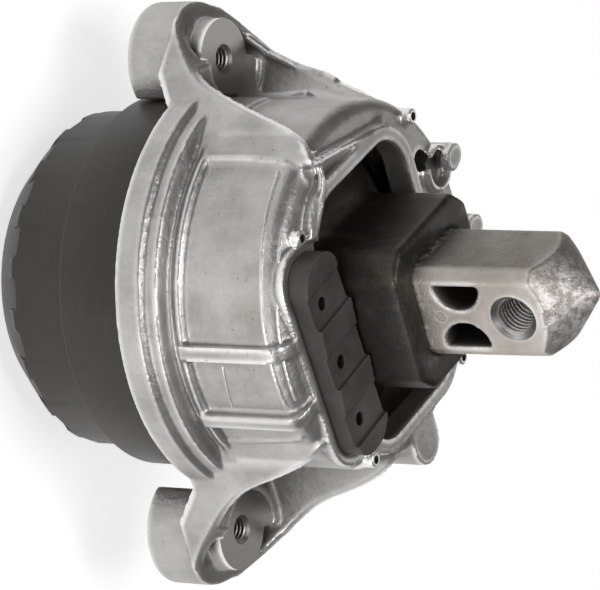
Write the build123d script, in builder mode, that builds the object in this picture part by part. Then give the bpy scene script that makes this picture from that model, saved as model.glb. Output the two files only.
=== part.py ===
from build123d import *
from math import cos, radians, sin
import os

os.makedirs("parts", exist_ok=True)

# Engine mount with a fluid chamber, in millimetres
# Z is the axis of the mount, with the pointed core up
# The origin is the middle of the base cup's underside
# X runs along the line of the two screw bosses, and -Y is the side with the stop pad

# Base cup, moulded in black plastic
cup_radius = 54.5
cup_band_radius = 49.5
cup_foot_radius = 39.0
cup_foot_height = 11.6
cup_step_height = 30.5
cup_height = 55.5
cup_wall = 3.0
cup_rib_count = 20
cup_slot_width = 9.0
cup_slot_depth = 1.4
cup_vent_count = 3
cup_vent_radius = 2.0
cup_vent_circle = 20.0

# Cast housing: the bell and its flange
flange_radius = 61.1
flange_height = 7.9
flange_lip_radius = 59.0
flange_lip_height = 4.6
groove_radius = 54.0
groove_rise = 1.2
bead_radius = 55.0
bead_height = 1.8
bead_slope = 0.6
bell_radius = 53.0
bell_top = 104.0
bell_shoulder = 5.0
bell_wall = 3.6
bell_roof = 5.5
rim_top = 107.0
rim_width = 4.5

# Opening in the top of the bell, which the core stands in
opening_turn = 24.3
opening_length = 78.4
opening_width = 52.5
opening_corner = 13.0
opening_offset = 2.0

# Screw bosses, one at each end, with the walls that carry them
left_boss_x = -64.4
right_boss_x = 73.6
boss_bottom = 32.0
boss_face = 54.7
boss_face_radius = 12.0
boss_edge_radius = 1.0
boss_radius = 17.0
boss_thread_radius = 4.0
boss_thread_chamfer = 0.8
boss_flat_top = 52.7
left_boss_flat = 9.5
right_boss_flat = 10.5
cup_clearance = 0.5
web_radius = 18.0
web_thickness = 3.6
web_bottom = 47.0
web_rise = 10.0
web_groove = 49.0
web_foot_radius = 2.0
channel_floor = 58.5
left_web_lean = 8.5
right_web_lean = 13.5
left_web_angles = (223.7, 181.3)
right_web_angles = (-36.0, 3.7)
web_foot_insets = (0.8, 7.5)
left_web_stretch = 1.2

# Ribs down the near side of the bell
rib_angles = (-74.8, -51.0)
rib_width = 4.6
rib_height = 3.0
rib_reach = 8.0
rib_top = 105.5

# Hollow ejector posts on the shoulder, and cast lugs on the far side
post_radius = 2.4
post_bore = 1.25
post_height = 9.0
post_angles = (248.9, -10.4, 158.8, 58.8)
post_insets = (5.8, 3.2, 3.1, 2.8)
lug_radius = 3.6
lug_inset = 2.0
lug_angles = (104.0, 132.0)
lug_bottom = 84.0
lug_top = 109.5
far_boss_radius = 7.0
far_boss_top = 105.0
far_boss_angle = 26.0
far_boss_inset = 9.0
roof_hole_radius = 3.3
roof_hole_angle = 141.8
roof_hole_inset = 10.8
dish_radius = 6.8
dish_rise = 2.6
dish_wall = 1.4
dish_depth = 3.6
dish_angle = 131.9
dish_inset = 7.3

# Stop pad of rubber on the near side of the opening
pad_turn = 3.0
pad_length = 63.3
pad_width = 18.4
pad_corner = 8.0
pad_bed = 1.0
pad_thickness = 5.4
pad_step = 1.5
pad_step_lead = 5.2
pad_ramp = 9.4
pad_fall = 0.8
pad_offset_along = 1.0
pad_offset_near = 33.8
pad_hole_radius = 1.9
pad_hole_spacing = 19.2
pad_hole_lead = 0.8
pad_hole_aside = 2.5
pad_clearance = 0.8
pad_wall = 2.6
pad_wall_rise = 1.0
pad_end_gap = 2.0
pad_end_length = 17.0

# Core, a square aluminium spigot with a pointed end
core_offset = 1.5
core_width = 28.0
core_chamfer = 3.3
core_bottom = 86.0
core_tip = 174.4
core_tip_angle = 51.5
core_tip_radius = 3.0
core_draft = 0.5
core_bulge = 0.8
core_end_radius = 9.0
core_end_height = 14.0
core_thread_height = 154.4
core_thread_radius = 6.0
core_thread_chamfer = 1.0
pocket_bottom = 131.0
pocket_top = 145.0
pocket_middle = 5.8
pocket_width = 7.4
pocket_depth = 16.0

# Rubber main spring, bonded to the core and to the spring ring
jacket_width = 45.0
jacket_corner = 6.0
jacket_top = 126.0
spring_skin = 4.0
spring_rise = 14.0

# Spring ring, which carries the rubber in the bore of the bell
ring_top = 84.0
ring_wall = 3.5
ring_flange = 3.0
ring_fit = 0.1
seat_step = 1.2

# Fluid plates, membrane and diaphragm inside
upper_plate_thickness = 3.0
lower_plate_thickness = 9.0
plate_fit = 0.3
track_radius = 38.0
track_width = 7.0
track_depth = 6.0
track_angle = 300.0
membrane_radius = 24.0
membrane_thickness = 2.4
membrane_play = 0.4
window_count = 8
window_radius = 2.6
diaphragm_thickness = 1.6
diaphragm_bead = 3.5
bellows_radius = 44.8
bellows_drop = 14.0


def level(height):
    """A flat plane at this height."""
    return Plane.XY.offset(height)


def around(inset, angle):
    """A point this far inside the bell's outer wall, at this angle."""
    radius = bell_radius - inset
    return (radius * cos(radians(angle)), radius * sin(radians(angle)))


def turned(height, x=0.0, more=0.0):
    """A flat plane turned with the opening, its X along the opening."""
    return Plane(
        origin=(x, 0, height),
        x_dir=(cos(radians(opening_turn + more)), sin(radians(opening_turn + more)), 0),
        z_dir=(0, 0, 1),
    )


def facing(x=0.0):
    """An upright plane turned with the opening, which faces the near side, its Y up."""
    return Plane(
        origin=(x, 0, 0),
        x_dir=(cos(radians(opening_turn)), sin(radians(opening_turn)), 0),
        z_dir=(sin(radians(opening_turn)), -cos(radians(opening_turn)), 0),
    )


def pad_outline(margin=0.0):
    """The stop pad's outline, wider by a margin, in a sketch on a plane turned with the pad."""
    with Locations((pad_offset_along, -pad_offset_near)):
        RectangleRounded(pad_length + 2 * margin, pad_width + 2 * margin, pad_corner + margin)


def upright(angle):
    """A plane through the axis, with its X outwards at this angle and its Y up."""
    return Plane(
        origin=(0, 0, 0),
        x_dir=(cos(radians(angle)), sin(radians(angle)), 0),
        z_dir=(sin(radians(angle)), -cos(radians(angle)), 0),
    )


# Base cup: a turned shell with a ribbed foot
with BuildPart() as base_cup:
    with BuildSketch(Plane.XZ):
        with BuildLine():
            Polyline(
                (0, 0),
                (cup_foot_radius, 0),
                (cup_band_radius, cup_foot_height),
                (cup_band_radius, cup_step_height),
                (cup_radius, cup_step_height + 1.5),
                (cup_radius, cup_height),
                (cup_radius - cup_wall, cup_height),
                (cup_radius - cup_wall, cup_step_height + cup_wall),
                (cup_band_radius - cup_wall, cup_step_height + cup_wall),
                (cup_band_radius - cup_wall, cup_foot_height + cup_wall / 2),
                (cup_foot_radius - cup_wall / 2, cup_wall),
                (0, cup_wall),
                close=True,
            )
        make_face()
    revolve(axis=Axis.Z)
    with PolarLocations(cup_foot_radius + cup_slot_depth, cup_rib_count):
        Box(
            2 * cup_slot_depth,
            cup_slot_width,
            1.5 * cup_foot_height,
            align=(Align.MIN, Align.CENTER, Align.MIN),
            rotation=(0, 35, 0),
            mode=Mode.SUBTRACT,
        )
    with Locations(level(0)):
        with PolarLocations(cup_vent_circle, cup_vent_count):
            Hole(cup_vent_radius, depth=2 * cup_wall)

base_cup.part.label = "base_cup"
export_step(base_cup.part, "parts/base_cup.step")


def web_profile(bell_gap):
    """Top edge of a boss wall as (distance inwards, height), for a boss this far from the bell."""
    rise = rim_top - boss_face
    shares = (
        (-1.22, 0, -0.19),
        (-0.78, 0, -0.143),
        (-0.36, 0, -0.038),
        (0.055, 0.1, 0.124),
        (0.28, 0.45, 0.306),
        (0.5, 0.5, 0.535),
        (0.7, 0.6, 0.765),
        (0.86, 0.75, 0.9),
        (1.11, 1, 1),
    )
    return [
        (web_radius * inwards + bell_gap * gap_share, boss_face + rise * upwards)
        for inwards, gap_share, upwards in shares
    ]


def ear(boss_x, feet, web_lean, bell_gap, boss_flat):
    """One screw boss with the two walls that flare from it to the bell, and the lane between them."""
    side = 1 if boss_x > 0 else -1
    lean = radians(web_lean)
    inwards = (-side * cos(lean), sin(lean), 0)
    across = Plane(
        origin=(boss_x, 0, 0),
        x_dir=inwards,
        z_dir=(inwards[1], -inwards[0], 0),
    )
    reach = 2 * flange_radius
    edge = web_profile(bell_gap)
    with BuildPart() as channel:
        with BuildSketch(level(channel_floor)):
            with Locations((boss_x, 0)):
                Circle(web_radius - web_thickness)
            with Locations(*feet):
                Circle(web_foot_radius / 10)
            make_hull()
        extrude(amount=rim_top - channel_floor)
    with BuildPart() as lane:
        add(channel.part)
        Cylinder(groove_radius, 2 * rim_top, mode=Mode.SUBTRACT)
    with BuildPart() as shape:
        with BuildSketch(level(web_bottom)):
            with Locations((boss_x, 0)):
                Circle(web_radius)
            with Locations(*feet):
                Circle(web_foot_radius)
            make_hull()
        extrude(amount=rim_top - web_bottom)
        # The underside rises from the boss to the flange
        with BuildSketch(across):
            with BuildLine():
                Polyline(
                    (0, web_bottom),
                    (web_rise, cup_height),
                    (reach, cup_height),
                    (reach, 0),
                    (0, 0),
                    close=True,
                )
            make_face()
        extrude(amount=reach, both=True, mode=Mode.SUBTRACT)
        with BuildSketch(level(boss_bottom)):
            with Locations((boss_x, 0)):
                Circle(boss_radius)
        extrude(amount=channel_floor - boss_bottom)
        # The lane between the walls, and the groove behind the machined face
        add(channel.part, mode=Mode.SUBTRACT)
        with BuildSketch(level(web_groove)):
            with Locations((boss_x, 0)):
                Circle(web_radius - web_thickness)
                Circle(boss_face_radius, mode=Mode.SUBTRACT)
                Rectangle(
                    2 * web_radius,
                    2 * web_radius,
                    align=(Align.MAX if side > 0 else Align.MIN, Align.CENTER),
                    mode=Mode.SUBTRACT,
                )
        extrude(amount=rim_top - web_groove, mode=Mode.SUBTRACT)
        # The S-shaped top edge
        with BuildSketch(across):
            with BuildLine():
                Spline(*edge)
                Polyline(
                    edge[-1],
                    (edge[-1][0], 2 * rim_top),
                    (-reach, 2 * rim_top),
                    (-reach, edge[0][1]),
                    edge[0],
                )
            make_face()
        extrude(amount=reach, both=True, mode=Mode.SUBTRACT)
        with BuildSketch(level(boss_bottom)):
            with Locations((boss_x, 0)):
                Circle(boss_face_radius)
        extrude(amount=boss_face - boss_bottom)
        # Flat on the side of the boss next to the cup
        with BuildSketch(across):
            with Locations((boss_flat, 0)):
                Rectangle(reach, boss_flat_top, align=(Align.MIN, Align.MIN))
        extrude(amount=reach, both=True, mode=Mode.SUBTRACT)
        fillet(shape.faces().sort_by(Axis.Z)[0].edges(), radius=boss_edge_radius)
    return shape.part, lane.part


left_gap = -left_boss_x - bell_radius - boss_face_radius
right_gap = right_boss_x - bell_radius - boss_face_radius
left_feet = [around(inset, angle) for inset, angle in zip(web_foot_insets, left_web_angles)]
right_feet = [around(inset, angle) for inset, angle in zip(web_foot_insets, right_web_angles)]
left_ear, left_lane = ear(
    left_boss_x, left_feet, left_web_lean, left_gap + left_web_stretch, left_boss_flat
)
right_ear, right_lane = ear(
    right_boss_x, right_feet, right_web_lean, right_gap, right_boss_flat
)

# Bore of the bell and the seats in it, shared with the pieces that sit there
bore_radius = bell_radius - bell_wall
seat_radius = bore_radius + seat_step
plate_top = cup_height + upper_plate_thickness
seat_top = plate_top + ring_flange
bore_top = bell_top - bell_roof

# Housing: one aluminium casting
with BuildPart() as housing:
    with BuildSketch(Plane.XZ):
        flange_top = cup_height + flange_height
        lip_top = flange_top + flange_lip_height
        bead_bottom = lip_top + 2 * groove_rise + bead_slope
        with BuildLine():
            Polyline(
                (bell_radius - bell_shoulder, bell_top),
                (0, bell_top),
                (0, cup_height),
                (flange_radius, cup_height),
                (flange_radius, flange_top),
                (flange_lip_radius, flange_top + 1),
                (flange_lip_radius, lip_top),
                (groove_radius, lip_top + groove_rise),
                (groove_radius, lip_top + 2 * groove_rise),
                (bead_radius, bead_bottom),
                (bead_radius, bead_bottom + bead_height),
                (bell_radius, bead_bottom + bead_height + bead_slope),
                (bell_radius, bell_top - bell_shoulder),
            )
            RadiusArc(
                (bell_radius, bell_top - bell_shoulder),
                (bell_radius - bell_shoulder, bell_top),
                -bell_shoulder,
            )
        make_face()
    revolve(axis=Axis.Z)
    add(left_lane, mode=Mode.SUBTRACT)
    add(right_lane, mode=Mode.SUBTRACT)
    add(left_ear)
    add(right_ear)
    # Raised rim round the opening
    with BuildSketch(turned(bell_top - 1)):
        with Locations((opening_offset, 0)):
            RectangleRounded(
                opening_length + 2 * rim_width,
                opening_width + 2 * rim_width,
                opening_corner + rim_width,
            )
    extrude(amount=rim_top - bell_top + 1)
    # Raised land that the stop pad stands in
    pad_bottom = bell_top + pad_bed
    with BuildSketch(turned(bell_top - 1, more=pad_turn)):
        pad_outline(pad_clearance + pad_wall)
    extrude(amount=pad_bed + pad_wall_rise + 1)
    # Ribs that run up the bell and over its shoulder
    for rib_angle in rib_angles:
        with BuildSketch(upright(rib_angle)):
            with BuildLine():
                Polyline(
                    (bell_radius - rib_reach, rib_top),
                    (bell_radius - rib_reach, lip_top),
                    (bell_radius + rib_height, lip_top + rib_height),
                    (bell_radius + rib_height, bell_top - bell_shoulder),
                )
                Spline(
                    (bell_radius + rib_height, bell_top - bell_shoulder),
                    (bell_radius - rib_reach, rib_top),
                    tangents=((0, 1), (-1, 0)),
                )
            make_face()
        extrude(amount=rib_width / 2, both=True)
    # Lugs and the screw boss on the far side
    for lug_angle in lug_angles:
        with BuildSketch(level(lug_bottom)):
            with Locations(around(lug_inset, lug_angle), around(lug_inset + lug_radius / 2, lug_angle)):
                Circle(lug_radius)
            make_hull()
        extrude(amount=lug_top - lug_bottom)
    with BuildSketch(level(lug_bottom)):
        with Locations(around(-1, far_boss_angle), around(far_boss_inset, far_boss_angle)):
            Circle(far_boss_radius)
        make_hull()
    extrude(amount=far_boss_top - lug_bottom)
    # Dish on the roof: a round pad with a raised edge
    with BuildSketch(level(bell_top - dish_depth)):
        with Locations(around(dish_inset, dish_angle)):
            Circle(dish_radius)
    extrude(amount=dish_depth + dish_rise)
    with BuildSketch(level(bell_top + dish_rise - dish_depth)):
        with Locations(around(dish_inset, dish_angle)):
            Circle(dish_radius - dish_wall)
    extrude(amount=dish_depth, mode=Mode.SUBTRACT)
    # Ejector posts
    post_places = [around(inset, angle) for inset, angle in zip(post_insets, post_angles)]
    with BuildSketch(level(rim_top - post_height)):
        with Locations(*post_places):
            Circle(post_radius)
    extrude(amount=post_height)
    # Inside: the bore, the seat for the ring and plates, and the opening
    with BuildSketch(level(cup_height)):
        Circle(bore_radius)
    extrude(amount=bore_top - cup_height, mode=Mode.SUBTRACT)
    with BuildSketch(level(cup_height)):
        Circle(seat_radius)
    extrude(amount=seat_top - cup_height, mode=Mode.SUBTRACT)
    with BuildSketch(turned(bore_top - 1)):
        with Locations((opening_offset, 0)):
            RectangleRounded(opening_length, opening_width, opening_corner)
    extrude(amount=rim_top, mode=Mode.SUBTRACT)
    # Room for the base cup beside the bosses
    with BuildSketch(level(0)):
        Circle(cup_radius + cup_clearance)
    extrude(amount=cup_height, mode=Mode.SUBTRACT)
    # Seat for the stop pad, with more room at its left end
    with BuildSketch(turned(pad_bottom, more=pad_turn)):
        pad_outline(pad_clearance)
        end_along = pad_offset_along - (pad_length - pad_end_length) / 2
        with Locations((end_along - pad_end_gap / 2, -pad_offset_near)):
            RectangleRounded(
                pad_end_length + pad_end_gap,
                pad_width + 2 * pad_end_gap,
                pad_corner,
            )
    extrude(amount=pad_thickness, mode=Mode.SUBTRACT)
    # Machined faces, holes and post bores
    with Locations((left_boss_x, 0, boss_face), (right_boss_x, 0, boss_face)):
        Cylinder(
            boss_face_radius,
            rim_top,
            align=(Align.CENTER, Align.CENTER, Align.MIN),
            mode=Mode.SUBTRACT,
        )
        Hole(boss_thread_radius, depth=boss_face)
        Cone(
            boss_thread_radius,
            boss_thread_radius + boss_thread_chamfer,
            boss_thread_chamfer,
            align=(Align.CENTER, Align.CENTER, Align.MAX),
            mode=Mode.SUBTRACT,
        )
    with Locations((left_boss_x, 0, boss_bottom), (right_boss_x, 0, boss_bottom)):
        Cone(
            boss_thread_radius + boss_thread_chamfer,
            boss_thread_radius,
            boss_thread_chamfer,
            align=(Align.CENTER, Align.CENTER, Align.MIN),
            mode=Mode.SUBTRACT,
        )
    with Locations(level(rim_top)):
        with Locations(*post_places):
            Hole(post_bore, depth=post_height - 1)
        with Locations(around(roof_hole_inset, roof_hole_angle)):
            Hole(roof_hole_radius, depth=rim_top - bore_top + 1)

housing.part.label = "housing"
export_step(housing.part, "parts/housing.step")

# Core: a square spigot, turned with the opening, with a cone on its end
core_near = facing(core_offset)
core_axis = Axis((core_offset, 0, 0), (0, 0, 1))
with BuildPart() as core:
    with BuildSketch(turned(core_bottom, core_offset)):
        base_width = core_width + core_bulge
        core_square = Rectangle(base_width, base_width)
        chamfer(core_square.vertices(), length=core_chamfer)
    extrude(amount=core_tip - core_bottom, taper=core_draft)
    # Cone on the tip, with a rounded point, and a cone on the end in the rubber
    point = radians(core_tip_angle)
    touch_radius = core_tip_radius * cos(point)
    touch_height = core_tip - core_tip_radius * (1 - sin(point))
    cone_bottom = touch_height - (core_width - touch_radius) * cos(point) / sin(point)
    with BuildSketch(Plane(origin=(core_offset, 0, 0), x_dir=(1, 0, 0), z_dir=(0, -1, 0))):
        with BuildLine():
            RadiusArc((0, core_tip), (touch_radius, touch_height), core_tip_radius)
            Polyline(
                (touch_radius, touch_height),
                (core_width, cone_bottom),
                (core_width, core_bottom + core_end_height),
                (core_end_radius, core_bottom),
                (0, core_bottom),
                (0, core_tip),
            )
        make_face()
    revolve(axis=core_axis, mode=Mode.INTERSECT)
    # Two pockets with a flat outer side and a bowed inner one
    near_face = core_near.offset(core_width / 2 + core_bulge)
    for side in (-1, 1):
        outer = side * (pocket_middle + pocket_width / 2)
        inner = side * (pocket_middle - pocket_width / 2)
        with BuildSketch(near_face):
            with BuildLine():
                ThreePointArc(
                    (outer, pocket_bottom),
                    (inner, (pocket_bottom + pocket_top) / 2),
                    (outer, pocket_top),
                )
                Line((outer, pocket_top), (outer, pocket_bottom))
            make_face()
        extrude(amount=pocket_depth, dir=-near_face.z_dir, mode=Mode.SUBTRACT)
    # Threaded hole for the bracket screw, with a chamfer on each side
    with Locations(core_near):
        with Locations((0, core_thread_height)):
            Cylinder(core_thread_radius, 2 * core_width, mode=Mode.SUBTRACT)
    with Locations(core_near.offset(core_width / 2)):
        with Locations((0, core_thread_height)):
            Cone(
                core_thread_radius,
                core_thread_radius + core_thread_chamfer,
                core_thread_chamfer,
                align=(Align.CENTER, Align.CENTER, Align.MAX),
                mode=Mode.SUBTRACT,
            )
    with Locations(core_near.offset(-core_width / 2)):
        with Locations((0, core_thread_height)):
            Cone(
                core_thread_radius + core_thread_chamfer,
                core_thread_radius,
                core_thread_chamfer,
                align=(Align.CENTER, Align.CENTER, Align.MIN),
                mode=Mode.SUBTRACT,
            )

core.part.label = "core"
export_step(core.part, "parts/core.step")

# Main spring: a square jacket on the core that widens into a cone of rubber
ring_radius = bore_radius - ring_fit
ring_bore = ring_radius - ring_wall
spring_bottom = core_bottom - spring_skin
with BuildPart() as main_spring:
    with BuildSketch(turned(spring_bottom, core_offset)):
        jacket = Rectangle(jacket_width, jacket_width)
        chamfer(jacket.vertices(), length=jacket_corner)
    extrude(amount=jacket_top - spring_bottom)
    with BuildSketch(Plane.XZ):
        with BuildLine():
            Polyline(
                (0, spring_bottom),
                (core_end_radius, spring_bottom),
                (ring_bore - 3, seat_top + 1),
                (ring_bore, seat_top + 1),
                (ring_bore, ring_top),
                (jacket_width / 2 + 3, ring_top + spring_rise),
                (0, ring_top + spring_rise),
                close=True,
            )
        make_face()
    revolve(axis=Axis.Z)
    add(core.part, mode=Mode.SUBTRACT)

main_spring.part.label = "main_spring"
export_step(main_spring.part, "parts/main_spring.step")

# Spring ring: a turned sleeve with a foot flange in the housing's seat
with BuildPart() as spring_ring:
    with BuildSketch(Plane.XZ):
        with BuildLine():
            Polyline(
                (ring_bore, plate_top),
                (seat_radius - ring_fit, plate_top),
                (seat_radius - ring_fit, seat_top - ring_fit),
                (ring_radius, seat_top - ring_fit),
                (ring_radius, ring_top),
                (ring_bore, ring_top),
                close=True,
            )
        make_face()
    revolve(axis=Axis.Z)

spring_ring.part.label = "spring_ring"
export_step(spring_ring.part, "parts/spring_ring.step")

# Stop pad: a rubber strip that stands in its seat, with a ramp between the holes
with BuildPart() as stop_pad:
    with BuildSketch(turned(pad_bottom, more=pad_turn)):
        pad_outline()
    extrude(amount=pad_thickness + pad_step)
    low = pad_bottom + pad_thickness
    middle_hole = pad_offset_along + pad_hole_lead
    outline = []
    for index in range(-2, 2):
        step_at = middle_hole + index * pad_hole_spacing + pad_step_lead
        outline.append((step_at, low))
        outline.append((step_at, low + pad_step))
        outline.append((step_at + pad_ramp - pad_fall, low + pad_step - pad_fall))
        outline.append((step_at + pad_ramp, low))
    outline.append((outline[-1][0], pad_bottom))
    outline.append((outline[0][0], pad_bottom))
    with BuildSketch(upright(opening_turn + pad_turn)):
        with BuildLine():
            Polyline(*outline, close=True)
        make_face()
    extrude(amount=2 * flange_radius, mode=Mode.INTERSECT)
    with Locations(turned(pad_bottom, more=pad_turn)):
        for index in range(-1, 2):
            hole_along = middle_hole + index * pad_hole_spacing
            with Locations((hole_along, -pad_offset_near - pad_hole_aside)):
                Cylinder(pad_hole_radius, 4 * pad_thickness, mode=Mode.SUBTRACT)

stop_pad.part.label = "stop_pad"
export_step(stop_pad.part, "parts/stop_pad.step")

# Upper fluid plate: a disc with windows over the membrane and a port to the track
lower_top = cup_height
membrane_bottom = lower_top - membrane_thickness - membrane_play
window_circle = membrane_radius / 2 + 2
with BuildPart() as upper_plate:
    with BuildSketch(level(lower_top)):
        Circle(seat_radius - ring_fit)
        Circle(window_radius, mode=Mode.SUBTRACT)
        with PolarLocations(window_circle, window_count):
            Circle(window_radius, mode=Mode.SUBTRACT)
        with Locations((track_radius, 0)):
            SlotOverall(1.6 * track_width, track_width, rotation=90, mode=Mode.SUBTRACT)
    extrude(amount=upper_plate_thickness)

upper_plate.part.label = "upper_plate"
export_step(upper_plate.part, "parts/upper_plate.step")

# Lower fluid plate: the track is a groove most of the way round its top
with BuildPart() as lower_plate:
    with BuildSketch(level(lower_top - lower_plate_thickness)):
        Circle(cup_radius - cup_wall - plate_fit)
    extrude(amount=lower_plate_thickness)
    with BuildSketch(level(membrane_bottom)):
        Circle(membrane_radius + membrane_play)
    extrude(amount=membrane_thickness + membrane_play, mode=Mode.SUBTRACT)
    with BuildSketch(level(0)):
        Circle(window_radius)
        with PolarLocations(window_circle, window_count):
            Circle(window_radius)
    extrude(amount=lower_top, mode=Mode.SUBTRACT)
    with BuildSketch(level(lower_top - track_depth)):
        with BuildLine():
            track_line = CenterArc((0, 0), track_radius, 0, track_angle)
        SlotArc(track_line, track_width)
    extrude(amount=track_depth, mode=Mode.SUBTRACT)
    with BuildSketch(level(0)):
        with PolarLocations(track_radius, 1, start_angle=track_angle):
            Circle(track_width / 2)
    extrude(amount=lower_top, mode=Mode.SUBTRACT)

lower_plate.part.label = "lower_plate"
export_step(lower_plate.part, "parts/lower_plate.step")

# Membrane: a loose rubber disc between the two plates
with BuildPart() as membrane:
    with BuildSketch(level(membrane_bottom)):
        Circle(membrane_radius)
    extrude(amount=membrane_thickness)

membrane.part.label = "membrane"
export_step(membrane.part, "parts/membrane.step")

# Diaphragm: a soft rubber bellows with a bead under the lower plate
bead_top = lower_top - lower_plate_thickness
bead_outside = cup_radius - cup_wall - plate_fit
fold_shares = ((0, 1), (0.38, 0.86), (0.65, 1.43), (0.85, 1), (1, 0.07))
bellows = [
    (bellows_radius * outwards, bead_top - bellows_drop * down) for outwards, down in fold_shares
]
bellows_inside = [(radius, height - diaphragm_thickness) for radius, height in bellows]
with BuildPart() as diaphragm:
    with BuildSketch(Plane.XZ):
        with BuildLine():
            Spline(*bellows)
            Line(bellows[-1], bellows_inside[-1])
            Spline(*bellows_inside)
            Line(bellows_inside[0], bellows[0])
        make_face()
        with Locations((bead_outside, bead_top)):
            Rectangle(
                bead_outside - bellows_radius + 0.5,
                diaphragm_bead,
                align=(Align.MAX, Align.MAX),
            )
    revolve(axis=Axis.Z)

diaphragm.part.label = "diaphragm"
export_step(diaphragm.part, "parts/diaphragm.step")

# Support ring: a sleeve that stands on the cup's step and holds the bead up
with BuildPart() as support_ring:
    with BuildSketch(level(cup_step_height + cup_wall)):
        Circle(bead_outside)
        Circle(cup_band_radius - cup_wall, mode=Mode.SUBTRACT)
    extrude(amount=bead_top - diaphragm_bead - cup_step_height - cup_wall)

support_ring.part.label = "support_ring"
export_step(support_ring.part, "parts/support_ring.step")
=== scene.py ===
from math import cos, pi, radians, sin

import bpy
from mathutils import Matrix, Vector


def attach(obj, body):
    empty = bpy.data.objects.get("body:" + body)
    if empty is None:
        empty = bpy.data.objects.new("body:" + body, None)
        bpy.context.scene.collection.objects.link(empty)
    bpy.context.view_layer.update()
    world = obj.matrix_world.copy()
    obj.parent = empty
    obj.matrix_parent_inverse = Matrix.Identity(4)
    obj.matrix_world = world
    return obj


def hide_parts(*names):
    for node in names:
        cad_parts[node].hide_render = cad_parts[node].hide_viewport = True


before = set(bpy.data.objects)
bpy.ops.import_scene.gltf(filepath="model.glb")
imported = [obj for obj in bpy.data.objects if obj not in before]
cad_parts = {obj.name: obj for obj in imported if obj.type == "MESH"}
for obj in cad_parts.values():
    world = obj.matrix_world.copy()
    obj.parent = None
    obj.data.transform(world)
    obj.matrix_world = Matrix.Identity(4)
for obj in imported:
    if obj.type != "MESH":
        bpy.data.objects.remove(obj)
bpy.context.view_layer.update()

# Base cup: the lower shell of the mount, moulded in black glass-filled plastic
# Its foot has moulded ribs, and its rim is pressed against the flange of the casting


class Signal:
    """A socket in a material, so that the maths of a finish reads as plain expressions."""

    def __init__(self, tree, socket=None):
        self.tree = tree
        self.socket = socket

    def node(self, kind, settings=None, sockets=None, out=0):
        """A new node: its settings are set first, then the values or links of its sockets."""
        made = self.tree.nodes.new("ShaderNode" + kind)
        for name, value in (settings or {}).items():
            setattr(made, name, value)
        for name, value in (sockets or {}).items():
            if isinstance(value, Signal):
                self.tree.links.new(value.socket, made.inputs[name])
            else:
                made.inputs[name].default_value = value
        return Signal(self.tree, made.outputs[out])

    def maths(self, operation, first, second):
        return self.node("Math", {"operation": operation}, {0: first, 1: second})

    def mix(self, low, high):
        """The colour low where this value is 0, and high where it is 1."""
        sockets = {0: self}
        for index, colour in ((6, low), (7, high)):
            sockets[index] = colour if isinstance(colour, Signal) else (*colour, 1)
        return self.node("Mix", {"data_type": "RGBA"}, sockets, 2)

    def between(self, low, high):
        """0 below low, 1 above high, and smooth from one to the other."""
        sockets = {"Value": self, "From Min": low, "From Max": high}
        return self.node("MapRange", {"interpolation_type": "SMOOTHSTEP"}, sockets)

    def __add__(self, other):
        return self.maths("ADD", self, other)

    def __sub__(self, other):
        return self.maths("SUBTRACT", self, other)

    def __mul__(self, other):
        return self.maths("MULTIPLY", self, other)

    def __rsub__(self, other):
        return self.maths("SUBTRACT", other, self)

    __radd__ = __add__
    __rmul__ = __mul__


def new_finish(name):
    """A new material, its Principled shader, and its Object coordinates as a Signal."""
    material = bpy.data.materials.new(name)
    material.use_nodes = True
    tree = material.node_tree
    place = Signal(tree).node("TexCoord", out="Object")
    return material, tree.nodes["Principled BSDF"], place


def wire(shader, **inputs):
    """Sets or links the sockets of a shader, by name with _ for a space."""
    for name, value in inputs.items():
        socket = shader.inputs[name.replace("_", " ")]
        if isinstance(value, Signal):
            value.tree.links.new(value.socket, socket)
        elif isinstance(value, tuple):
            socket.default_value = (*value, 1)
        else:
            socket.default_value = value


def noise(place, scale, detail=3.0, roughness=0.5):
    """Soft noise from 0 to 1 whose patches are about 1 / scale metres."""
    sockets = {"Vector": place, "Scale": scale, "Detail": detail, "Roughness": roughness}
    return place.node("TexNoise", {}, sockets)


def stretched(place, x, y, z):
    """The same place with its axes multiplied, which draws a pattern out along the small ones."""
    return place.node("VectorMath", {"operation": "MULTIPLY"}, {0: place, 1: (x, y, z)})


def bump(height, depth):
    """A normal from a height from 0 to 1, which stands for so many metres."""
    return height.node("Bump", {}, {"Height": height, "Distance": depth})


def closed_in(place, distance, inside=False):
    """How far the piece's own faces close a point in within this distance, from 0 to 1.

    With inside it looks into the piece, where only a thin outer edge is close to other faces.
    """
    settings = {"samples": 8, "inside": inside, "only_local": True}
    return 1 - place.node("AmbientOcclusion", settings, {"Distance": distance}, "AO")


def work_on(piece):
    """Makes this piece the only one selected, and the active one."""
    bpy.ops.object.select_all(action="DESELECT")
    piece.select_set(True)
    bpy.context.view_layer.objects.active = piece


def copied(node, name):
    """A copy of a CAD node's mesh as a piece of its own, with its loose triangles merged."""
    piece = bpy.data.objects.new(name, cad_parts[node].data.copy())
    bpy.context.collection.objects.link(piece)
    piece.data.materials.clear()
    work_on(piece)
    bpy.ops.object.mode_set(mode="EDIT")
    bpy.ops.mesh.select_all(action="SELECT")
    bpy.ops.mesh.remove_doubles(threshold=1e-6)
    bpy.ops.mesh.dissolve_limited(angle_limit=radians(0.3))
    bpy.ops.object.mode_set(mode="OBJECT")
    bpy.ops.mesh.customdata_custom_splitnormals_clear()
    return piece


def shaped(piece, kind, **settings):
    """Adds a modifier to a piece, sets it and applies it."""
    work_on(piece)
    bpy.ops.object.modifier_add(type=kind)
    modifier = piece.modifiers[-1]
    for name, value in settings.items():
        setattr(modifier, name, value)
    bpy.ops.object.modifier_apply(modifier=modifier.name)


def rounded(piece, width, sharpness):
    """Rounds the edges that turn by more than this many degrees."""
    limit = radians(sharpness)
    shaped(piece, "BEVEL", width=width, segments=2, limit_method="ANGLE", angle_limit=limit)


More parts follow.
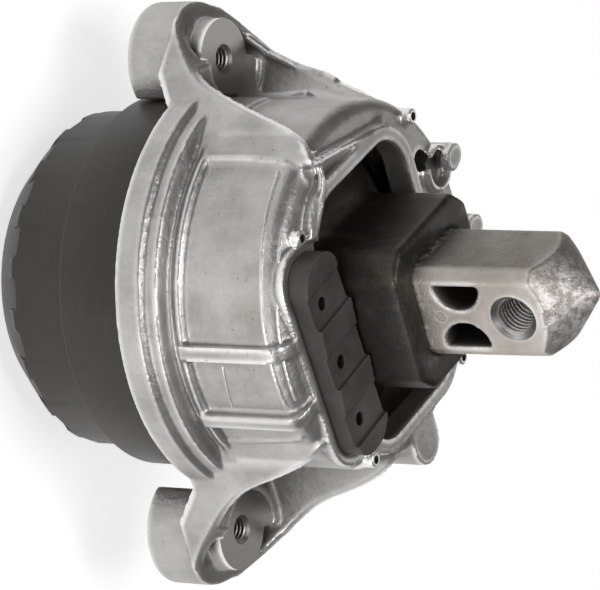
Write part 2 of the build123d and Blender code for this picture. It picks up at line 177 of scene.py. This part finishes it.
def hand_over(piece, node, slot, *finishes):
    """Puts the finishes on a piece, and sets it in the frame in place of its CAD node."""
    for finish in finishes:
        piece.data.materials.append(finish)
    work_on(piece)
    bpy.ops.object.shade_smooth_by_angle(angle=radians(35), keep_sharp_edges=True)
    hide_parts(node)
    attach(piece, "root")


cup_plastic, shader, place = new_finish("black_moulded_plastic")
speckle = noise(place, 2200, 2.0)
smear = noise(place, 45, 4.0, 0.6)
dust = noise(place, 900, 2.0).between(0.72, 0.78)
# Rub marks drawn out in streaks and lightened; on the cup this mask is wear alone
rubbed_and_lit_side = noise(stretched(place, 1, 1, 5), 60, 5.0, 0.7).between(0.55, 0.75)
# Painted highlight: the thin outer edges of the foot's ribs are lightened towards grey
ridge_highlight = closed_in(place, 0.0012, inside=True).between(0.08, 0.35)
# Painted shade: recesses closed in by the cup's own faces are darkened nearly to black, and made
# rougher
nook_shade = closed_in(place, 0.008).between(0.05, 0.45)
dark = smear.between(0.3, 0.7).mix((0.017, 0.016, 0.014), (0.034, 0.032, 0.028))
dark = (rubbed_and_lit_side * 0.5).mix(dark, (0.056, 0.052, 0.045))
dark = (nook_shade * 0.8).mix(dark, (0.006, 0.005, 0.004))
dark = (ridge_highlight * 0.6).mix(dark, (0.13, 0.127, 0.12))
wire(
    shader,
    Base_Color=(dust * 0.6).mix(dark, (0.16, 0.15, 0.14)),
    Roughness=smear * 0.16 + speckle * 0.1 + 0.30 + nook_shade * 0.2,
    Normal=bump(speckle + smear * 0.5, 0.00005),
)
cup = copied("base_cup", "cup_shell")
rounded(cup, width=0.0005, sharpness=24)
hand_over(cup, "base_cup", "cup_plastic", cup_plastic)

# Support ring, fluid plates and spring ring: a plastic sleeve and three turned metal parts
# They stand one on the other from the cup's step up, and the throttle track is between the plates

for node, finish_name, low, high, metal in (
    ("support_ring", "grey_sleeve_plastic", (0.06, 0.06, 0.062), (0.09, 0.09, 0.092), 0.0),
    ("lower_plate", "turned_lower_plate", (0.42, 0.41, 0.40), (0.56, 0.55, 0.54), 1.0),
    ("upper_plate", "turned_upper_plate", (0.44, 0.43, 0.42), (0.58, 0.57, 0.56), 1.0),
    ("spring_ring", "plated_ring_steel", (0.30, 0.29, 0.27), (0.42, 0.40, 0.37), 1.0),
):
    finish, shader, place = new_finish(finish_name)
    turning = noise(stretched(place, 1, 1, 9), 900, 4.0, 0.6)
    wire(
        shader,
        Base_Color=turning.mix(low, high),
        Metallic=metal,
        Roughness=turning * 0.2 + 0.3,
        Normal=bump(turning, 0.00004),
    )
    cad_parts[node].material_slots[0].material = finish

# Membrane and diaphragm: two soft rubber parts round the fluid below the spring
# The membrane lies loose between the plates, and the bellows hang from a bead under them


def softened(piece, voxel, passes):
    """Melts the edges of a piece into small radii: remeshed in voxels, then smoothed."""
    shaped(piece, "REMESH", mode="VOXEL", voxel_size=voxel)
    shaped(piece, "SMOOTH", factor=0.5, iterations=passes)


soft_rubber, shader, place = new_finish("black_soft_rubber")
talc = noise(place, 90, 5.0, 0.7)
wire(
    shader,
    Base_Color=talc.between(0.5, 0.75).mix((0.022, 0.021, 0.020), (0.060, 0.057, 0.052)),
    Roughness=talc * 0.2 + 0.5,
    Normal=bump(noise(place, 1600), 0.00005),
)
membrane = copied("membrane", "loose_membrane")
rounded(membrane, width=0.0004, sharpness=40)
hand_over(membrane, "membrane", "soft_rubber", soft_rubber)
diaphragm = copied("diaphragm", "bellows_diaphragm")
softened(diaphragm, voxel=0.0007, passes=3)
hand_over(diaphragm, "diaphragm", "soft_rubber", soft_rubber)

# Cast housing: the bell with its flange and the two screw feet, one aluminium casting
# Only the two foot faces and the holes are machined, and the rest keeps its cast skin

skin_slot = 0
machined_slot = 1
bell_radius = 0.053
roof_top = 0.104
roof_bottom = 0.0985
rim_top = 0.107
foot_places = ((-0.0644, 0.0), (0.0736, 0.0))
foot_bottom = 0.032
foot_face = 0.0547
foot_face_radius = 0.012
foot_thread = 0.004
foot_pitch = 0.00125
foot_sink = 0.0004
foot_sink_depth = 0.0013
foot_low_sink_depth = 0.001
foot_plug_radius = foot_thread + 0.001
raw_face_radius = foot_face_radius - 0.0002
raw_face_low = foot_face - 0.004
raw_face_high = foot_face + 0.002
post_places = ((-0.017, -0.044), (0.049, -0.009), (-0.0465, 0.018), (0.026, 0.043))
post_radius = 0.0021
post_rounding = 0.0003
post_height = 0.0085
post_bore = 0.00125
post_bore_depth = 0.008
post_plug_radius = 0.0016
post_plug_height = 0.01
roof_hole_place = (-0.0332, 0.0261)
roof_hole_radius = 0.0033
roof_plug_radius = roof_hole_radius + 0.0005
overrun = 0.001
groove_lead = 0.003
groove_runout = 0.002
thread_depth_per_pitch = 0.6

cast_skin, shader, place = new_finish("cast_aluminium")
grain = noise(place, 1500, 4.0, 0.6)
peel = noise(place, 420, 3.0)
cloud = noise(place, 55, 4.0, 0.6)
flow = noise(stretched(place, 1, 1, 0.25), 160, 4.0, 0.6)
pits = noise(place, 1000, 2.0).between(0.70, 0.76)
# Painted highlight and edge wear: thin outer edges are lightened nearly to white, and made smoother
edge = closed_in(place, 0.0022, inside=True).between(0.05, 0.24)
# Painted reflection: concave fillets where faces meet are lightened, and made smoother
fillet = closed_in(place, 0.0025).between(0.08, 0.40)
# Painted shade: deep hollows closed in by the casting's own faces are darkened
hollow_shade = closed_in(place, 0.05).between(0.10, 0.55)
skin = cloud.between(0.3, 0.7).mix((0.36, 0.345, 0.325), (0.56, 0.545, 0.53))
skin = (flow.between(0.4, 0.7) * 0.35).mix(skin, (0.62, 0.60, 0.58))
skin = (grain.between(0.35, 0.65) * 0.3).mix(skin, (0.46, 0.445, 0.425))
skin = (pits * 0.6).mix(skin, (0.12, 0.11, 0.10))
skin = (hollow_shade * 0.8).mix(skin, (0.16, 0.15, 0.135))
skin = (fillet * 0.6).mix(skin, (0.80, 0.78, 0.76))
wire(
    shader,
    Base_Color=(edge * 0.85).mix(skin, (0.95, 0.93, 0.91)),
    Metallic=0.8,
    Roughness=0.36 + grain * 0.14 - edge * 0.14 - fillet * 0.1,
    Normal=bump(grain * 0.5 + peel + flow * 0.6 - pits * 0.8, 0.00022),
)

machined_face, shader, place = new_finish("machined_aluminium")
cut_marks = noise(place, 1300, 4.0, 0.7)
wire(
    shader,
    Base_Color=cut_marks.mix((0.40, 0.39, 0.38), (0.54, 0.53, 0.515)),
    Metallic=1.0,
    Roughness=cut_marks * 0.12 + 0.34,
    Normal=bump(cut_marks, 0.00005),
)


def turned_peg(steps, sides=64):
    """A closed peg round Z, turned to these (radius, height) steps from its foot up."""
    radius, height = steps[0]
    bpy.ops.object.select_all(action="DESELECT")
    bpy.ops.mesh.primitive_circle_add(vertices=sides, radius=radius, fill_type="NGON")
    made = bpy.context.active_object
    bpy.ops.object.mode_set(mode="EDIT")
    bpy.ops.transform.translate(value=(0, 0, height))
    for next_radius, next_height in steps[1:]:
        rise = {"value": (0, 0, next_height - height)}
        bpy.ops.mesh.extrude_region_move(TRANSFORM_OT_translate=rise)
        grow = next_radius / radius
        bpy.ops.transform.resize(value=(grow, grow, 1), center_override=(0, 0, next_height))
        radius, height = next_radius, next_height
    bpy.ops.mesh.select_all(action="SELECT")
    bpy.ops.mesh.normals_make_consistent(inside=False)
    bpy.ops.object.mode_set(mode="OBJECT")
    return made


def thread_groove(radius, pitch, low, high):
    """A closed three-sided coil round Z, as the groove that a tap cuts out to this radius."""
    bpy.ops.object.select_all(action="DESELECT")
    bpy.ops.mesh.primitive_circle_add(vertices=3, radius=pitch / 2)
    coil = bpy.context.active_object
    upright = Matrix.Rotation(pi / 2, 4, "X") @ Matrix.Rotation(-pi / 2, 4, "Z")
    coil.matrix_world = Matrix.Translation((radius - pitch / 2, 0, low)) @ upright
    bpy.ops.object.transform_apply(location=True, rotation=True, scale=True)
    facets = 28
    shaped(
        coil,
        "SCREW",
        axis="Z",
        screw_offset=pitch,
        iterations=round((high - low) / pitch),
        steps=facets,
        render_steps=facets,
    )
    bpy.ops.object.mode_set(mode="EDIT")
    bpy.ops.mesh.select_all(action="SELECT")
    bpy.ops.mesh.remove_doubles(threshold=1e-7)
    bpy.ops.mesh.fill_holes(sides=3)
    bpy.ops.mesh.select_all(action="SELECT")
    bpy.ops.mesh.normals_make_consistent(inside=False)
    bpy.ops.object.mode_set(mode="OBJECT")
    return coil


def facing(axis):
    """The turn that brings Z on to this axis."""
    return Vector(axis).to_track_quat("Z", "Y").to_matrix().to_4x4()


def set_down(made, where, axis=(0, 0, 1)):
    """Turns a tool from Z to an axis and puts it at its place, in its mesh."""
    work_on(made)
    made.matrix_world = Matrix.Translation(where) @ facing(axis)
    bpy.ops.object.transform_apply(location=True, rotation=True, scale=True)
    return made


def plug(radius, low, high, where, sides=64):
    """A straight upright peg between two heights, at this x and y."""
    return set_down(turned_peg(((radius, low), (radius, high)), sides), (*where, 0))


def joined(parts):
    """Several objects as one, which keeps the first one's name."""
    bpy.ops.object.select_all(action="DESELECT")
    for part in parts:
        part.select_set(True)
    bpy.context.view_layer.objects.active = parts[0]
    if len(parts) > 1:
        bpy.ops.object.join()
    return parts[0]


def combined(piece, tools, operation, slot):
    """Works tools into a piece by a boolean, and gives their faces the finish in this slot."""
    tool = joined(tools)
    tool.data.polygons.foreach_set("material_index", [slot] * len(tool.data.polygons))
    shaped(
        piece,
        "BOOLEAN",
        object=tool,
        operation=operation,
        solver="EXACT",
        material_mode="INDEX",
    )
    bpy.data.objects.remove(tool)


def cut(piece, tools, slot=machined_slot):
    """Cuts tools out of a piece, and gives the new faces the finish in this slot."""
    combined(piece, tools, "DIFFERENCE", slot)


def kept_crisp(piece):
    """Marks the border of the machined faces as sharp."""
    work_on(piece)
    bpy.ops.object.mode_set(mode="EDIT")
    bpy.ops.mesh.select_all(action="DESELECT")
    bpy.ops.object.mode_set(mode="OBJECT")
    for face in piece.data.polygons:
        face.select = face.material_index == machined_slot
    bpy.ops.object.mode_set(mode="EDIT")
    bpy.ops.mesh.region_to_loop()
    bpy.ops.mesh.mark_sharp()
    bpy.ops.object.mode_set(mode="OBJECT")


def thinned(piece, triangles):
    """Thins a remeshed piece, which is all four-sided faces, to about this many triangles."""
    shaped(piece, "DECIMATE", ratio=min(1, triangles / (2 * len(piece.data.polygons))))


def bead(points, thickness):
    """A round raised line through these points, as a mould leaves along a joint or a fillet."""
    bpy.ops.object.select_all(action="DESELECT")
    bpy.ops.mesh.primitive_plane_add(size=thickness)
    line = bpy.context.active_object
    bpy.ops.object.mode_set(mode="EDIT")
    bpy.ops.mesh.select_all(action="SELECT")
    bpy.ops.mesh.merge(type="CENTER")
    bpy.ops.transform.translate(value=points[0])
    for start, end in zip(points, points[1:]):
        step = [b - a for a, b in zip(start, end)]
        bpy.ops.mesh.extrude_vertices_move(TRANSFORM_OT_translate={"value": step})
    bpy.ops.object.mode_set(mode="OBJECT")
    bpy.ops.object.convert(target="CURVE")
    line.data.bevel_depth = thickness / 2
    line.data.bevel_resolution = 2
    line.data.use_fill_caps = True
    bpy.ops.object.convert(target="MESH")
    return line


def round_axis(radius, angle, height):
    """The point at this distance from the mount's axis, and this many degrees from X."""
    return (radius * cos(radians(angle)), radius * sin(radians(angle)), height)


def arc(radius, first_angle, last_angle, low, high, ragged=0.0):
    """Evenly spaced points round the mount's axis, as ragged as this many metres."""
    spacing = 0.8
    count = round((last_angle - first_angle) / spacing)
    points = []
    for step in range(count + 1):
        off = ragged * sin(step * 2.1) * sin(step * 0.73)
        height = low + (high - low) * step / count + off
        points.append(round_axis(radius + off, first_angle + spacing * step, height))
    return points


# Before its skin is remeshed the casting is raw: its holes are filled and its feet stand proud
housing = copied("housing", "cast_bell")
fillers = [housing]
for where in foot_places:
    fillers.append(plug(foot_plug_radius, foot_bottom, raw_face_low, where))
    fillers.append(plug(raw_face_radius, raw_face_low, raw_face_high, where))
for where in post_places:
    fillers.append(plug(post_plug_radius, rim_top - post_plug_height, rim_top, where, sides=24))
fillers.append(plug(roof_plug_radius, roof_bottom, roof_top, roof_hole_place, sides=32))
# Fillets where the webs meet the bell, and the rounded lips of the webs, as few points each
web_fillet = (
    round_axis(0.0540, -135.3, 0.0710),
    round_axis(0.0540, -135.3, 0.0860),
    round_axis(0.0533, -134.5, 0.0985),
    round_axis(0.0515, -133.5, 0.1025),
    round_axis(0.0470, -131.0, 0.1040),
)
low_web_fillet = (
    round_axis(0.0531, -38.5, 0.0715),
    round_axis(0.0529, -40.5, 0.0950),
    round_axis(0.0529, -42.5, 0.0995),
)
rim_lip = (
    (-0.040, -0.032, 0.1040),
    (-0.033, -0.032, 0.1065),
    (-0.025, -0.034, 0.1070),
    (-0.017, -0.037, 0.1065),
)
far_web_lip = (
    (-0.0705, 0.0130, 0.0545),
    (-0.0655, 0.0145, 0.0610),
    (-0.0610, 0.0150, 0.0710),
    (-0.0585, 0.0158, 0.0795),
    (-0.0567, 0.0145, 0.0840),
)
channel_fillet = (
    (-0.0605, 0.0115, 0.0550),
    (-0.0535, 0.0050, 0.0625),
    (-0.0535, 0.0055, 0.0705),
    (-0.0536, 0.0083, 0.0780),
    (-0.0539, 0.0050, 0.0860),
    (-0.0536, 0.0020, 0.0925),
)
fillers += [
    bead(web_fillet, thickness=0.0022),
    bead(low_web_fillet, thickness=0.0019),
    bead(rim_lip, thickness=0.0022),
    bead(far_web_lip, thickness=0.0026),
    bead(channel_fillet, thickness=0.0030),
]
joined(fillers)
softened(housing, voxel=0.0006, passes=6)
thinned(housing, triangles=150000)
for finish in (cast_skin, machined_face):
    housing.data.materials.append(finish)
# Fine lines that the mould left on the bell and its flange, and the ejector posts
bell_seam = arc(bell_radius, -70, -53, 0.0832, 0.0815)
shoulder_line = arc(bell_radius, -131, -56, 0.0977, 0.0998)
roof_line = arc(bell_radius - 0.0015, -112, -58, 0.1030, 0.1026)
flange_flash = arc(0.0596, -124, -60, 0.0642, 0.0636, ragged=0.0003)
raised = [
    bead(bell_seam, thickness=0.0008),
    bead(shoulder_line, thickness=0.0012),
    bead(roof_line, thickness=0.0011),
    bead(flange_flash, thickness=0.0005),
]
post_steps = (
    (post_radius, rim_top - post_height),
    (post_radius, rim_top - post_rounding),
    (post_radius - post_rounding, rim_top),
)
for where in post_places:
    raised.append(set_down(turned_peg(post_steps, sides=32), (*where, 0)))
combined(housing, raised, "UNION", skin_slot)
# The feet are faced, drilled and countersunk on both sides, and the posts and the roof drilled
foot_minor = foot_thread - thread_depth_per_pitch * foot_pitch
foot_steps = (
    (foot_thread + foot_sink, foot_bottom - overrun),
    (foot_thread + foot_sink, foot_bottom),
    (foot_minor, foot_bottom + foot_low_sink_depth),
    (foot_minor, foot_face - foot_sink_depth),
    (foot_thread + foot_sink, foot_face),
    (foot_face_radius, foot_face),
    (foot_face_radius, rim_top),
)
cutters = []
for where in foot_places:
    cutters.append(set_down(turned_peg(foot_steps), (*where, 0)))
for where in post_places:
    cutters.append(plug(post_bore, rim_top - post_bore_depth, rim_top + overrun, where, sides=24))
roof_low = roof_bottom - overrun
roof_high = roof_top + overrun
cutters.append(plug(roof_hole_radius, roof_low, roof_high, roof_hole_place, sides=40))
cut(housing, cutters)
grooves = []
groove_low = foot_bottom - groove_lead
groove_high = foot_face + groove_runout
for where in foot_places:
    groove = thread_groove(foot_thread, foot_pitch, groove_low, groove_high)
    grooves.append(set_down(groove, (*where, 0)))
cut(housing, grooves)
kept_crisp(housing)
hand_over(housing, "housing", "cast_aluminium")

# Core: a square aluminium spigot with a pointed end, which carries the engine's bracket
# It is bonded into the rubber, and a cross hole with a thread takes the bracket's screw

core_turn = radians(24.3)
core_centre = Vector((0.0015, 0, 0))
core_near = Vector((sin(core_turn), -cos(core_turn), 0))
core_half = 0.014
core_thread = 0.006
core_plug_radius = core_thread + 0.0012
core_pitch = 0.0015
core_sink = 0.001
core_sink_depth = 0.0019
thread_centre = core_centre + Vector((0, 0, 0.1544))
near_mark_place = core_centre + core_near * core_half + Vector((0, 0, 0.1318))
point_mark_place = Vector((0.00682, -0.01179, 0.16494))
point_slope = core_near * 0.62 + Vector((0, 0, 0.78))
mark_flare = 0.0003
mark_reach = 0.002

core_finish, shader, place = new_finish("core_aluminium")
grain = noise(place, 1400, 4.0, 0.6)
cloud = noise(place, 80, 4.0, 0.6)
scuff_and_glint = noise(place, 330, 5.0, 0.7)
height = place.node("SeparateXYZ", sockets={0: place}, out="Z")
point = height.between(0.158, 0.170)
# Painted highlight and edge wear: thin outer edges are lightened nearly to white, and made smoother
edge = closed_in(place, 0.0018, inside=True).between(0.05, 0.26)
# Painted shade: hollows closed in by the core's own faces are darkened nearly to black
hollow_shade = closed_in(place, 0.012).between(0.22, 0.70)
nearness = place.node("VectorMath", {"operation": "DOT_PRODUCT"}, {0: place, 1: core_near}, "Value")
# Painted light and shade: the near face and the near side of the point take the lighter tone, the
# other faces the darker one
rubbed_and_lit_side = nearness.between(0.0095, 0.0125) + point * nearness.between(-0.008, 0.006)
shaded_side_tone = cloud.between(0.3, 0.7).mix((0.21, 0.190, 0.170), (0.31, 0.285, 0.260))
lit_side_tone = cloud.between(0.3, 0.7).mix((0.44, 0.400, 0.360), (0.58, 0.54, 0.50))
skin = rubbed_and_lit_side.mix(shaded_side_tone, lit_side_tone)
skin = (grain.between(0.4, 0.7) * 0.25).mix(skin, (0.58, 0.54, 0.50))
skin = (hollow_shade * 0.9).mix(skin, (0.050, 0.042, 0.035))
# Scuffs and painted highlight: near-white patches on the near side of the point, which also roughen
# its relief
skin = (scuff_and_glint.between(0.42, 0.58) * point * rubbed_and_lit_side).mix(skin, (0.97, 0.93, 0.91))
residue = noise(place, 520, 3.0).between(0.42, 0.60) * (1 - height.between(0.1262, 0.1278))
skin = residue.mix(skin, (0.86, 0.80, 0.72))
skin = (noise(place, 900, 2.0).between(0.70, 0.76) * 0.5).mix(skin, (0.12, 0.10, 0.09))
wire(
    shader,
    Base_Color=(edge * 0.75).mix(skin, (0.92, 0.88, 0.85)),
    Metallic=0.75,
    Roughness=0.44 + grain * 0.14 - edge * 0.12,
    Normal=bump(grain * 0.6 + cloud * 2 + scuff_and_glint * point * 2, 0.00025),
)


def ejector_mark(radius, depth, where, axis):
    """A cutter for the shallow round mark that an ejector pin leaves in a face."""
    steps = ((radius, -depth), (radius + mark_flare, mark_reach))
    return set_down(turned_peg(steps, sides=40), where, axis)


core = copied("core", "core_spigot")
filler_steps = ((core_plug_radius, -core_half), (core_plug_radius, core_half))
joined([core, set_down(turned_peg(filler_steps), thread_centre, core_near)])
softened(core, voxel=0.00045, passes=10)
thinned(core, triangles=90000)
for finish in (core_finish, machined_face):
    core.data.materials.append(finish)
core_minor = core_thread - thread_depth_per_pitch * core_pitch
core_steps = (
    (core_thread + core_sink, -core_half - overrun),
    (core_thread + core_sink, -core_half),
    (core_minor, -core_half + core_sink_depth),
    (core_minor, core_half - core_sink_depth),
    (core_thread + core_sink, core_half),
    (core_thread + core_sink, core_half + overrun),
)
cut(core, [set_down(turned_peg(core_steps), thread_centre, core_near)])
groove_end = core_half + groove_lead
groove = thread_groove(core_thread, core_pitch, -groove_end, groove_end)
cut(core, [set_down(groove, thread_centre, core_near)])
near_mark = ejector_mark(0.0016, 0.0003, near_mark_place, core_near)
point_mark = ejector_mark(0.0024, 0.0006, point_mark_place, point_slope)
cut(core, [near_mark, point_mark], skin_slot)
kept_crisp(core)
hand_over(core, "core", "core_aluminium")

# Main spring: rubber moulded round the core and on to the ring in the bell
# It carries the engine's weight and seals the fluid below, and its jacket limits the travel

spring_rubber, shader, place = new_finish("black_spring_rubber")
# Painted highlight: sharp convex edges of the spring are lightened
tip_highlight = place.node("NewGeometry", out="Pointiness")
bloom = noise(place, 60, 5.0, 0.6)
fine = noise(place, 1200, 3.0)
streak = noise(stretched(place, 1, 1, 0.3), 110, 5.0, 0.65).between(0.52, 0.70)
smudge = noise(place, 150, 5.0, 0.7).between(0.52, 0.72)
dark = bloom.between(0.35, 0.7).mix((0.013, 0.012, 0.010), (0.032, 0.028, 0.022))
dark = (streak * 0.7).mix(dark, (0.070, 0.058, 0.036))
dark = (smudge * 0.4).mix(dark, (0.080, 0.070, 0.055))
wire(
    shader,
    Base_Color=(tip_highlight.between(0.52, 0.58) * 0.4).mix(dark, (0.085, 0.076, 0.062)),
    Roughness=0.46 + smudge * 0.12 - streak * 0.16,
    Normal=bump(fine * 0.25 + bloom * 1.5 + streak * 0.4, 0.00022),
)
spring = copied("main_spring", "rubber_spring")
softened(spring, voxel=0.0008, passes=24)
hand_over(spring, "main_spring", "spring_rubber", spring_rubber)

# Stop pad: a moulded rubber strip with three holes, seated in the rim beside the core
# It softens the blow when the core's bracket comes down on the casting

pad_rubber, shader, place = new_finish("dull_pad_rubber")
# Painted highlight: sharp convex edges of the pad are lightened
tip_highlight = place.node("NewGeometry", out="Pointiness")
fine = noise(place, 1500, 3.0)
bloom = noise(place, 120, 4.0)
dust = noise(place, 1100, 2.0).between(0.73, 0.78)
# Painted shade: the pad's holes and recesses are darkened nearly to black
nook_shade = closed_in(place, 0.005).between(0.15, 0.6)
dark = bloom.between(0.3, 0.7).mix((0.062, 0.059, 0.052), (0.095, 0.091, 0.082))
dark = (tip_highlight.between(0.52, 0.58) * 0.5).mix(dark, (0.17, 0.165, 0.155))
dark = (nook_shade * 0.85).mix(dark, (0.008, 0.007, 0.006))
wire(
    shader,
    Base_Color=(dust * 0.5).mix(dark, (0.22, 0.21, 0.19)),
    Roughness=fine * 0.15 + 0.5,
    Normal=bump(fine + bloom, 0.00012),
)
pad = copied("stop_pad", "stop_strip")
softened(pad, voxel=0.00035, passes=4)
hand_over(pad, "stop_pad", "pad_rubber", pad_rubber)

# Studio: a white floor, soft boxes, and the camera at the photograph's viewing angle
# The mount lies on its side in the photograph, so the camera is rolled about its line of sight

azimuth = radians(-6.83)
elevation = radians(32.07)
roll = radians(91.55)
camera_distance = 1.0
aim_height = 0.06
aim_right = 0.01521
aim_up = -0.00417
photo_width = 600
focal_length_in_pixels = 3440
sensor_width = 36
floor_glow = 0.68
world_glow = 0.07
lamp_distance = 1.2

back = Vector((sin(azimuth) * cos(elevation), -cos(azimuth) * cos(elevation), sin(elevation)))
level_right = Vector((0, 0, 1)).cross(back).normalized()
level_up = back.cross(level_right)
right = cos(roll) * level_right + sin(roll) * level_up
up = cos(roll) * level_up - sin(roll) * level_right
aim = Vector((0, 0, aim_height)) + aim_right * right + aim_up * up
bpy.ops.object.camera_add()
camera = bpy.context.active_object
turn = Matrix((right, up, back)).transposed().to_4x4()
camera.matrix_world = Matrix.Translation(aim + camera_distance * back) @ turn
camera.data.sensor_width = sensor_width
camera.data.lens = focal_length_in_pixels / photo_width * sensor_width
bpy.context.scene.camera = camera

bpy.ops.mesh.primitive_plane_add(size=30)
floor = bpy.context.active_object
floor.name = "floor"
floor_white, shader, place = new_finish("floor_white")
seen = place.node("LightPath", out="Is Camera Ray")
mirrored = place.node("LightPath", out="Is Glossy Ray")
through = place.node("LightPath", out="Is Transmission Ray")
wire(
    shader,
    Base_Color=(0.8, 0.8, 0.8),
    Roughness=0.9,
    Emission_Color=(1.0, 1.0, 1.0),
    Emission_Strength=(seen + mirrored + through) * floor_glow,
)
floor.data.materials.append(floor_white)


def softbox(name, direction, size, power):
    """A square soft light in this direction from the mount, turned to it."""
    bpy.ops.object.light_add(type="AREA")
    light = bpy.context.active_object
    light.name = name
    way = direction.normalized()
    light.matrix_world = Matrix.Translation(aim + way * lamp_distance) @ facing(way)
    light.data.size = size
    light.data.energy = power


softbox("tip_box", back + 0.9 * right, 0.6, 5.5)
softbox("flank_box", back - 0.45 * right, 0.6, 1.6)
softbox("low_box", back - 0.8 * up - 0.4 * right, 0.45, 3.4)
softbox("far_box", Vector((0, 1, 0.6)), 0.6, 1.1)
world = bpy.data.worlds.new("studio")
world.use_nodes = True
world.node_tree.nodes["Background"].inputs["Color"].default_value = (1, 1, 1, 1)
world.node_tree.nodes["Background"].inputs["Strength"].default_value = world_glow
bpy.context.scene.world = world
bpy.context.scene.view_settings.view_transform = "Standard"
